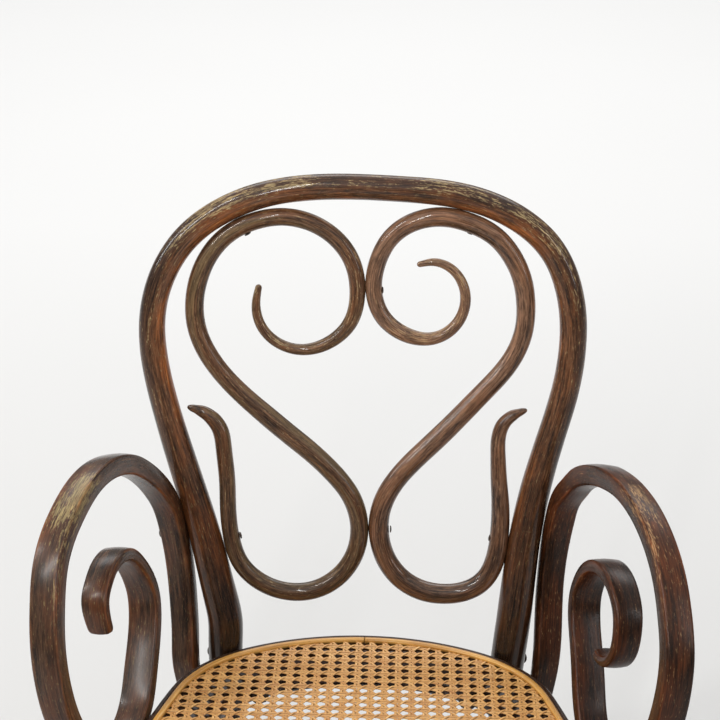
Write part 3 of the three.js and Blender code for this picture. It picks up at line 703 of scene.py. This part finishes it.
def hoop_piece():
    """The round hoop between the legs. The CAD rod has eight flat sides, so its height is across
    the flats and the round rod is that much fatter."""
    low, high = (np.array(v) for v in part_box("stretcher_hoop"))
    centre = (low + high) / 2
    rod = (high[2] - low[2]) / 2 / math.cos(math.pi / 8)
    major = (high[0] - low[0]) / 2 - (high[2] - low[2]) / 2
    steps, sides = 300, 28
    turn = TAU * np.arange(steps) / steps
    tilt = TAU * np.arange(sides) / sides
    outward = np.stack([np.cos(turn), np.sin(turn), 0 * turn], -1)
    u = rod * np.cos(tilt)[None, :] * np.ones((steps, 1))
    v = rod * np.sin(tilt)[None, :] * np.ones((steps, 1))
    points = centre + (major + u)[..., None] * outward[:, None] + v[..., None] * np.array([0, 0, 1.0])
    # the grain follows the bend and doubles back so that it meets itself without a seam
    run = major * np.minimum(turn, TAU - turn)
    grain = np.stack([np.repeat(run[:, None], sides, 1) + 20, u, v], -1).reshape(-1, 3)
    zero = np.zeros(steps * sides)
    obj = mesh_object("stretcher_hoop_bent", points.reshape(-1, 3), tube_faces(steps, sides, True),
                      {"grain": grain, "wear": zero, "edge": zero})
    flip_if_inside_out(obj)
    return join_piece(obj, "frame_wood", BASE_WOOD, "stretcher_hoop")


hoop_piece()

# ---- seat ------------------------------------------------------------------------------------------
seat_mount = next(m for m in frame["record"]["mounts"] if m["name"] == "seat_top")
SEAT_ORIGIN = np.array(seat_mount["pos_m"], float)
SEAT_UP = unit(np.array(seat_mount["axis"], float))
SEAT_X = np.array([1.0, 0, 0])
SEAT_Y = np.cross(SEAT_UP, SEAT_X)


def to_seat(points):
    """Points in the seat's own axes: across, back, up from its top."""
    d = np.asarray(points, float) - SEAT_ORIGIN
    return np.stack([d @ SEAT_X, d @ SEAT_Y, d @ SEAT_UP], -1)


def from_seat(points):
    """Points given in the seat's own axes, in the chair's."""
    p = np.asarray(points, float)
    return SEAT_ORIGIN + p[..., :1] * SEAT_X + p[..., 1:2] * SEAT_Y + p[..., 2:3] * SEAT_UP


def closed_curve(points, count):
    """An evenly spaced closed smooth curve through ring points, from the first one round."""
    wrapped = np.vstack([points[-6:], points, points[:7]])
    knots = cumulative(wrapped)
    start, end = knots[6], knots[6 + len(points)]
    at = start + (end - start) * np.arange(count) / count
    return spline(knots, wrapped, at), end - start


web = to_seat(node_mesh("cane_web")[0])
web_top = web[web[:, 2] > -0.5 * MM][:, :2]
web_top = web_top[np.linalg.norm(web_top - web_top.mean(0), axis=1) > 0.05]
order = np.argsort(np.arctan2(web_top[:, 0], web_top[:, 1] - web_top[:, 1].mean()))
web_top = web_top[order]
# begin at the rear middle, where the binding strip is butted
web_top = np.roll(web_top, -int(np.argmin(np.abs(web_top[:, 0]) - 10 * web_top[:, 1])), axis=0)
OUTLINE, OUTLINE_LENGTH = closed_curve(web_top, 640)
tangent = directions(OUTLINE, closed=True)
OUTWARD = np.stack([tangent[:, 1], -tangent[:, 0]], -1)
if np.sum(OUTWARD * (OUTLINE - OUTLINE.mean(0))) < 0:
    OUTWARD = -OUTWARD


def rear_section(node):
    """(distance outwards from the cane, height) of a loop's corners at the rear middle."""
    local = to_seat(node_mesh(node)[0])
    rear = local[(np.abs(local[:, 0] - web_top[0][0]) < 1 * MM) & (local[:, 1] > 0)]
    return np.stack([rear[:, 1] - web_top[0][1], rear[:, 2]], -1)


def corner_rounded(points, radii, steps=5):
    """A closed outline with each corner replaced by a short arc-like curve, and a few points added
    along its long sides."""
    out = []
    n = len(points)
    for i in range(n):
        p, q, r = (np.array(points[k % n], float) for k in (i - 1, i, i + 1))
        cut = min(radii[i], 0.45 * np.linalg.norm(p - q), 0.45 * np.linalg.norm(r - q))
        a = q + cut * unit(p - q)
        b = q + cut * unit(r - q)
        for k in range(steps + 1):
            t = k / steps
            out.append((1 - t) ** 2 * a + 2 * t * (1 - t) * q + t * t * b)
        gap = np.linalg.norm((np.array(points[(i + 1) % n]) - q))
        if gap > 12 * MM:
            nxt = np.array(points[(i + 1) % n], float)
            for t in (0.33, 0.66):
                out.append(q + t * (nxt - q))
    return np.array(out)


def seat_loop(name, section, slot, material, node, edge=None, gap=0.0, seed=0.0):
    """A section swept round the seat. A gap leaves the loop open by that length at the rear."""
    count, sides = len(OUTLINE), len(section)
    closed = gap == 0
    s = np.arange(count) / count * OUTLINE_LENGTH
    path, outward = OUTLINE, OUTWARD
    if not closed:
        path = np.vstack([OUTLINE, OUTLINE[:1]])
        outward = np.vstack([OUTWARD, OUTWARD[:1]])
        s = np.append(s, OUTLINE_LENGTH)
        path = path.copy()
        path[0] += unit(path[1] - path[0]) * gap / 2
        path[-1] += unit(path[-2] - path[-1]) * gap / 2
    flat = path[:, None] + section[None, :, :1] * outward[:, None]
    heights = np.broadcast_to(section[None, :, 1:], flat.shape[:2] + (1,))
    points = from_seat(np.concatenate([flat, heights], -1))
    run = np.minimum(s, OUTLINE_LENGTH - s) if closed else s
    grain = np.stack([np.repeat(run[:, None] + seed, sides, 1),
                      np.broadcast_to(section[:, 0], flat.shape[:2]),
                      np.broadcast_to(section[:, 1], flat.shape[:2])], -1)
    edges = np.broadcast_to(edge if edge is not None else np.zeros(sides), flat.shape[:2])
    values = {"grain": grain.reshape(-1, 3), "edge": edges.ravel(), "wear": np.zeros(edges.size)}
    obj = mesh_object(name, points.reshape(-1, 3), tube_faces(len(s), sides, closed), values)
    flip_if_inside_out(obj)
    return join_piece(obj, slot, material, node)


rail = rear_section("seat_frame")
rail_out, rail_in = rail[:, 0].max(), rail[:, 0].min()
rail_top, rail_low = rail[:, 1].max(), rail[:, 1].min()
lip = rail[np.argmax(rail[:, 1])][0]
shelf = rail[np.abs(rail[:, 0] - lip) < 0.5 * MM][:, 1].min()
slope_start = sorted(rail[np.abs(rail[:, 1] - shelf) < 0.5 * MM][:, 0])[0]
slope_end = rail[(rail[:, 0] < slope_start - 1 * MM) & (rail[:, 1] > shelf - 13 * MM)]
slope_end = slope_end[np.argmax(slope_end[:, 1])]
rail_outline = [(rail_out, rail_top), (lip, rail_top), (lip, shelf), (slope_start, shelf),
                (slope_end[0], slope_end[1]), (rail_in, slope_end[1] - 5 * MM),
                (rail_in + 2 * MM, rail_low), (rail_out, rail_low)]
rail_section = corner_rounded(rail_outline, [7 * MM, 0.8 * MM, 0.3 * MM, 2 * MM, 3 * MM, 5 * MM,
                                             9 * MM, 9 * MM])
rail_edge = np.clip(1 - np.linalg.norm(rail_section - np.array([lip, rail_top]), axis=1) / (2.5 * MM), 0, 1)
seat_loop("seat_frame_bent", rail_section, "frame_wood", BASE_WOOD, "seat_frame", edge=rail_edge, seed=30.0)

strip = rear_section("seat_binding")
reed_in, reed_out = strip[:, 0].min(), strip[:, 0].max()
reed_low, reed_top = strip[:, 1].min(), strip[:, 1].max()
arch = np.linspace(0, math.pi, 15)
reed_half = (reed_out - reed_in) / 2
reed_arch = np.stack([(reed_in + reed_out) / 2 + reed_half * np.cos(arch),
                      reed_top - 2.3 * MM + 2.3 * MM * np.sin(arch) ** 0.8], -1)
reed_section = np.vstack([reed_arch, [[reed_in, reed_low], [reed_out, reed_low]]])
seat_loop("seat_binding_reed", reed_section, "binding_cane", BINDING_REED, "seat_binding",
          gap=0.5 * MM, seed=40.0)

# ---- woven cane: pairs down and across, one strand each way on the diagonals -------------------------
PITCH = 12.7 * MM
STRAND = 2.5 * MM  # width of a strand
SPLIT = 0.62 * MM  # and its thickness
PAIR = 1.42 * MM  # half the spacing of the two strands of a pair
LEVEL = -1.3 * MM  # middle of the weave, from the top of the seat frame
LIFT = 0.6 * MM  # how far strands rise and dip where they cross
FIRST_ROW = 0.32  # row 0 would lie this part of a pitch behind the rear of the outline
WEAVE_SHIFT = 1.05 * MM  # the weave is a little off the middle of the seat


def inside_span(origin, direction, reach):
    """Where a straight line enters and leaves the seat outline, or None."""
    edge = np.roll(OUTLINE, -1, 0) - OUTLINE
    normal = np.array([-direction[1], direction[0]])
    side = (OUTLINE - origin) @ normal
    other = np.roll(side, -1)
    crossing = np.nonzero((side > 0) != (other > 0))[0]
    if len(crossing) < 2:
        return None
    at = [(OUTLINE[k] + edge[k] * side[k] / (side[k] - other[k]) - origin) @ direction for k in crossing]
    return min(at) - reach, max(at) + reach


def strand_mesh(lines, name, seed, replaces=()):
    """Flat strands woven up and down; each line is (origin, direction, height as a function of s)."""
    points, faces, grain, edges = [], [], [], []
    half, thick = STRAND / 2, SPLIT / 2
    section = [(half * 0.86, thick * 0.55), (half * 0.45, thick), (-half * 0.45, thick),
               (-half * 0.86, thick * 0.55), (-half, -thick * 0.4), (-half * 0.8, -thick),
               (half * 0.8, -thick), (half, -thick * 0.4)]
    sides = len(section)
    # painted shade: how much each point of a strand's section is darkened, fully on its lower sides and
    # underside
    painted_shade_rim = [0.5, 0, 0, 0.5, 1, 1, 1, 1]
    for index, (origin, direction, height) in enumerate(lines):
        span = inside_span(origin, direction, 0.8 * MM)
        if span is None or span[1] - span[0] < 9 * MM:
            continue
        s = np.linspace(span[0], span[1], max(4, int((span[1] - span[0]) / (PITCH / 6))))
        z = LEVEL + height(s)
        sag = np.gradient(z, s)
        across = np.array([-direction[1], direction[0]])
        drift = 0.12 * MM * math.sin(index * 2.1 + seed)
        first = len(points)
        for k in range(len(s)):
            centre = origin + direction * s[k] + across * drift
            for w, t in section:
                flat = centre + across * w - direction * t * sag[k]
                points.append((flat[0], flat[1], z[k] + t))
                grain.append((s[k] + index * 0.37 + seed, w + 0.01 * index, t))
        for row in range(len(s)):
            edges.extend(painted_shade_rim)
        faces += [[first + v for v in f] for f in tube_faces(len(s), sides, False)]
    points = from_seat(np.array(points))
    obj = mesh_object(name, points, faces, {"grain": grain, "edge": edges, "wear": np.zeros(len(points))})
    flip_if_inside_out(obj)
    return join_piece(obj, "seat_cane", SEAT_CANE, *replaces)


centre_x = OUTLINE[:, 0].mean() + WEAVE_SHIFT
rear_y = OUTLINE[:, 1].max()
columns = range(-20, 21)
rows = range(0, 42)


def pair_low(s):
    """Height of a strand that starts under the first one it crosses."""
    return -LIFT * 0.5 * np.cos(TAU * s / PITCH)


def pair_high(s):
    return LIFT * 0.5 * np.cos(TAU * s / PITCH)


def diagonal_lift(phase):
    """Diagonal strands weave over and under between the crossings of the pairs."""
    def height(s):
        return 1.3 * LIFT * np.cos(math.pi * s / (half_turn * PITCH) + phase)
    return height


def row_y(j):
    return rear_y - (j - FIRST_ROW) * PITCH


down = np.array([0.0, -1.0])
side = np.array([1.0, 0.0])
verticals = [(np.array([centre_x + (i + 0.5) * PITCH + p * PAIR, row_y(0)]), down, pair_low)
             for i in columns for p in (-1, 1)]
horizontals = [(np.array([centre_x + 0.5 * PITCH, row_y(j) + p * PAIR]), side, pair_high)
               for j in rows for p in (-1, 1)]
half_turn = math.sqrt(0.5)
diagonals = {1: [], -1: []}
for way in (1, -1):
    direction = np.array([half_turn, way * half_turn])
    for c in range(-44, 45):
        # the strand passes the middle of the pairs' sides, half a pitch from each crossing
        origin = np.array([centre_x + c * PITCH, row_y(0)])
        diagonals[way].append((origin, direction, diagonal_lift(0.0 if way > 0 else math.pi)))
strand_mesh(verticals, "cane_pairs_down", 1.0, ("cane_web",))
strand_mesh(horizontals, "cane_pairs_across", 2.0)
strand_mesh(diagonals[1], "cane_diagonal_rising", 3.0)
strand_mesh(diagonals[-1], "cane_diagonal_falling", 4.0)


# ---- fasteners -------------------------------------------------------------------------------------
def seat_of(node):
    """Middle of the seated face, direction outwards, radius there and height of a turned fastener."""
    co, near = node_mesh(node)
    most = max(len(n) for n in near)
    centre = co.mean(0)
    axis = np.linalg.svd(co - centre)[2]
    spread = np.ptp((co - centre) @ axis.T, axis=0)
    axis = axis[int(np.argmin(spread))]
    h = (co - centre) @ axis
    away = np.linalg.norm((co - centre) - h[:, None] * axis, axis=1)
    low, high = away[h < h.min() + 0.2 * MM].max(), away[h > h.max() - 0.2 * MM].max()
    if high > low + 0.1 * MM:
        axis, h, low = -axis, -h, high
    base = centre + axis * h.min()
    return base, axis, low, h.max() - h.min()


def lathe(profile, sides):
    """Points and faces of a (radius, height) profile turned about Z."""
    angle = TAU * np.arange(sides) / sides
    points = [(r * math.cos(a), r * math.sin(a), z) for r, z in profile for a in angle]
    return points, tube_faces(len(profile), sides, False)


def slot_cutter(radius, height):
    """A thin block across a screw head, open at the top."""
    corners = [(x * radius * 1.4, y * 0.55 * MM, z) for x in (-1, 1) for y in (-1, 1)
               for z in (height * 0.62, height * 1.5)]
    faces = [(0, 1, 3, 2), (4, 6, 7, 5), (0, 4, 5, 1), (2, 3, 7, 6), (0, 2, 6, 4), (1, 5, 7, 3)]
    return mesh_object("slot_cutter", corners, faces)


def cut_slot(obj, radius, height):
    cutter = slot_cutter(radius, height)
    cut = obj.modifiers.new("slot", "BOOLEAN")
    cut.operation = "DIFFERENCE"
    cut.object = cutter
    cut.solver = "EXACT"
    graph = bpy.context.evaluated_depsgraph_get()
    finished = bpy.data.meshes.new_from_object(obj.evaluated_get(graph))
    obj.modifiers.clear()
    obj.data = finished
    bpy.data.objects.remove(cutter)
    finished.set_sharp_from_angle(angle=math.radians(40))


def dome_profile(radius, height):
    profile = [(radius * 0.97, 0)]
    for a in np.linspace(0, math.pi / 2 * 0.97, 9):
        across = radius * math.cos(a) ** 0.9
        profile.append((across, 0.18 * height + 0.82 * height * math.sin(a)))
    return profile


def nut_profile(radius, height):
    bevel = 0.5 * MM
    return [(radius * 0.94, 0), (radius, bevel), (radius, height - bevel), (radius * 0.9, height)]


def washer_profile(radius, height):
    return [(radius - 0.25 * MM, 0), (radius, 0.25 * MM), (radius, height - 0.3 * MM),
            (radius - 0.3 * MM, height)]


SCREW_SINK = 1.2 * MM
FASTENERS = {  # profile, sides, smooth faces, and the end of the piece's name
    "screw": (dome_profile, 48, True, "_head"),
    "bolt": (dome_profile, 48, True, "_head"),
    "washer": (washer_profile, 48, False, "_head"),
    "nut": (nut_profile, 6, False, "_hex"),
}


def fastener_piece(node, kind):
    """A screw, bolt, washer or nut turned about the axis of its CAD node."""
    base, axis, radius, height = seat_of(node)
    if node.startswith("screw_scroll"):
        # let in, so that only the rounded top stands clear of the rod
        base = settle_scroll(base) - axis * SCREW_SINK
    profile, sides, smooth_faces, ending = FASTENERS[kind]
    points, faces = lathe(profile(radius, height), sides)
    obj = mesh_object(node + ending, points, faces, smooth_faces=smooth_faces)
    if kind == "screw":
        cut_slot(obj, radius, height)
    obj.data.transform(Vector(axis).to_track_quat("Z", "Y").to_matrix().to_4x4())
    obj.data.transform(Matrix.Translation(Vector(base)))
    return join_piece(obj, "screw_steel", OLD_STEEL, node)


for node in sorted(frame["nodes"]):
    kind = node.split("_")[0]
    if kind in FASTENERS:
        fastener_piece(node, kind)


# ---- floor, light, camera -----------------------------------------------------------------------------
def floor_material():
    sh = Shader("studio_floor_paper")
    place = sh.new("ShaderNodeTexCoord").outputs["Object"]
    soft = sh.noise(sh.stretch(place, (0.7, 0.7, 0.7)), detail=2)
    fine = sh.noise(sh.stretch(place, (900, 900, 900)), detail=2)
    depth = sh.new("ShaderNodeSeparateXYZ")
    sh.link(place, depth.inputs[0])
    # painted shade: the floor is darker toward the front and paler toward the back, a painted light falloff,
    # with soft mottling
    painted_falloff = sh.math("ADD", sh.range(depth.outputs[1], 0.1, 2.2, 0.0, 0.8), sh.math("MULTIPLY", soft, 0.2))
    tone = sh.ramp(painted_falloff, (0.1, (0.625, 0.621, 0.612)), (0.9, (0.757, 0.756, 0.75)))
    sh.link(tone, sh.surface.inputs["Base Color"])
    sh.surface.inputs["Roughness"].default_value = 0.85
    sh.link(sh.bump(fine, 0.02 * MM, 0.3), sh.surface.inputs["Normal"])
    return sh.material


REACH = 30
corners = [(-REACH, -REACH, 0), (REACH, -REACH, 0), (REACH, REACH, 0), (-REACH, REACH, 0)]
floor = mesh_object("studio_floor", corners, [(0, 1, 2, 3)])
floor.data.materials.append(floor_material())

world = bpy.data.worlds.new("studio")
bpy.context.scene.world = world
world.use_nodes = True
sky = world.node_tree
toward = sky.nodes.new("ShaderNodeSeparateXYZ")
sky.links.new(sky.nodes.new("ShaderNodeTexCoord").outputs["Generated"], toward.inputs[0])
ceiling = sky.nodes.new("ShaderNodeValToRGB")
sky.links.new(toward.outputs[2], ceiling.inputs[0])
for position, level in ((0.0, 0.16), (0.3, 0.42), (0.8, 1.0)):
    stop = ceiling.color_ramp.elements[0] if position == 0 else ceiling.color_ramp.elements.new(position)
    stop.color = (level, level, level, 1)
sky.links.new(ceiling.outputs[0], sky.nodes["Background"].inputs[0])
sky.nodes["Background"].inputs[1].default_value = 0.8


def area_light(name, place, aim, size, power, colour=(1, 1, 1)):
    """A rectangular lamp turned to face a point."""
    data = bpy.data.lights.new(name, "AREA")
    data.shape = "RECTANGLE"
    data.size, data.size_y = size
    data.energy = power
    data.color = colour
    light = bpy.data.objects.new(name, data)
    light.location = place
    light.rotation_euler = (Vector(aim) - Vector(place)).to_track_quat("-Z", "Y").to_euler()
    bpy.context.scene.collection.objects.link(light)


seat_back = Vector((0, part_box("seat_frame")[1][1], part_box("seat_frame")[1][2] + 0.2))
area_light("key_left", (-1.7, -0.95, 2.7), seat_back, (0.12, 1.3), 24, (1.0, 0.985, 0.96))
area_light("front_strip", (-0.45, -2.1, 2.7), seat_back, (0.07, 1.5), 17, (1.0, 0.99, 0.975))
area_light("side_left", (-2.5, 0.35, 2.0), seat_back, (0.08, 1.2), 15, (1.0, 0.99, 0.97))
area_light("fill_right", (2.2, -0.9, 1.9), seat_back, (0.14, 1.3), 7, (0.98, 0.99, 1.0))
area_light("backdrop", (0, 3.4, 3.2), (0, 3.0, 0), (4.5, 2.2), 78)

# the camera looks down at the back: seen from it, its axis passes 0.27 m above the rear of the seat
AZIMUTH, ELEVATION, ROLL = math.radians(1.2), math.radians(25.7), math.radians(0.6)
LENS_WIDTH, LENS_LENGTH = 36.0, 107.8
DISTANCE = 2.083
AIM_RISE, AIM_SIDE = 0.2705, -0.0068
REAR_OF_SEAT = (0.0025, 0.2215, -0.0148)  # from the seat mount
ahead = np.array([-math.sin(AZIMUTH) * math.cos(ELEVATION), math.cos(AZIMUTH) * math.cos(ELEVATION),
                  -math.sin(ELEVATION)])
right = np.array([math.cos(AZIMUTH), math.sin(AZIMUTH), 0.0])
top = np.cross(right, ahead)
right, top = math.cos(ROLL) * right + math.sin(ROLL) * top, -math.sin(ROLL) * right + math.cos(ROLL) * top
eye = SEAT_ORIGIN + np.array(REAR_OF_SEAT) + AIM_RISE * top + AIM_SIDE * right - DISTANCE * ahead
lens = bpy.data.cameras.new("camera")
lens.sensor_width = LENS_WIDTH
lens.lens = LENS_LENGTH
lens.clip_end = 60
camera = bpy.data.objects.new("camera", lens)
camera.matrix_world = Matrix((
    (right[0], top[0], -ahead[0], eye[0]),
    (right[1], top[1], -ahead[1], eye[1]),
    (right[2], top[2], -ahead[2], eye[2]),
    (0, 0, 0, 1)))
bpy.context.scene.collection.objects.link(camera)
bpy.context.scene.camera = camera
bpy.context.scene.view_settings.view_transform = "Standard"
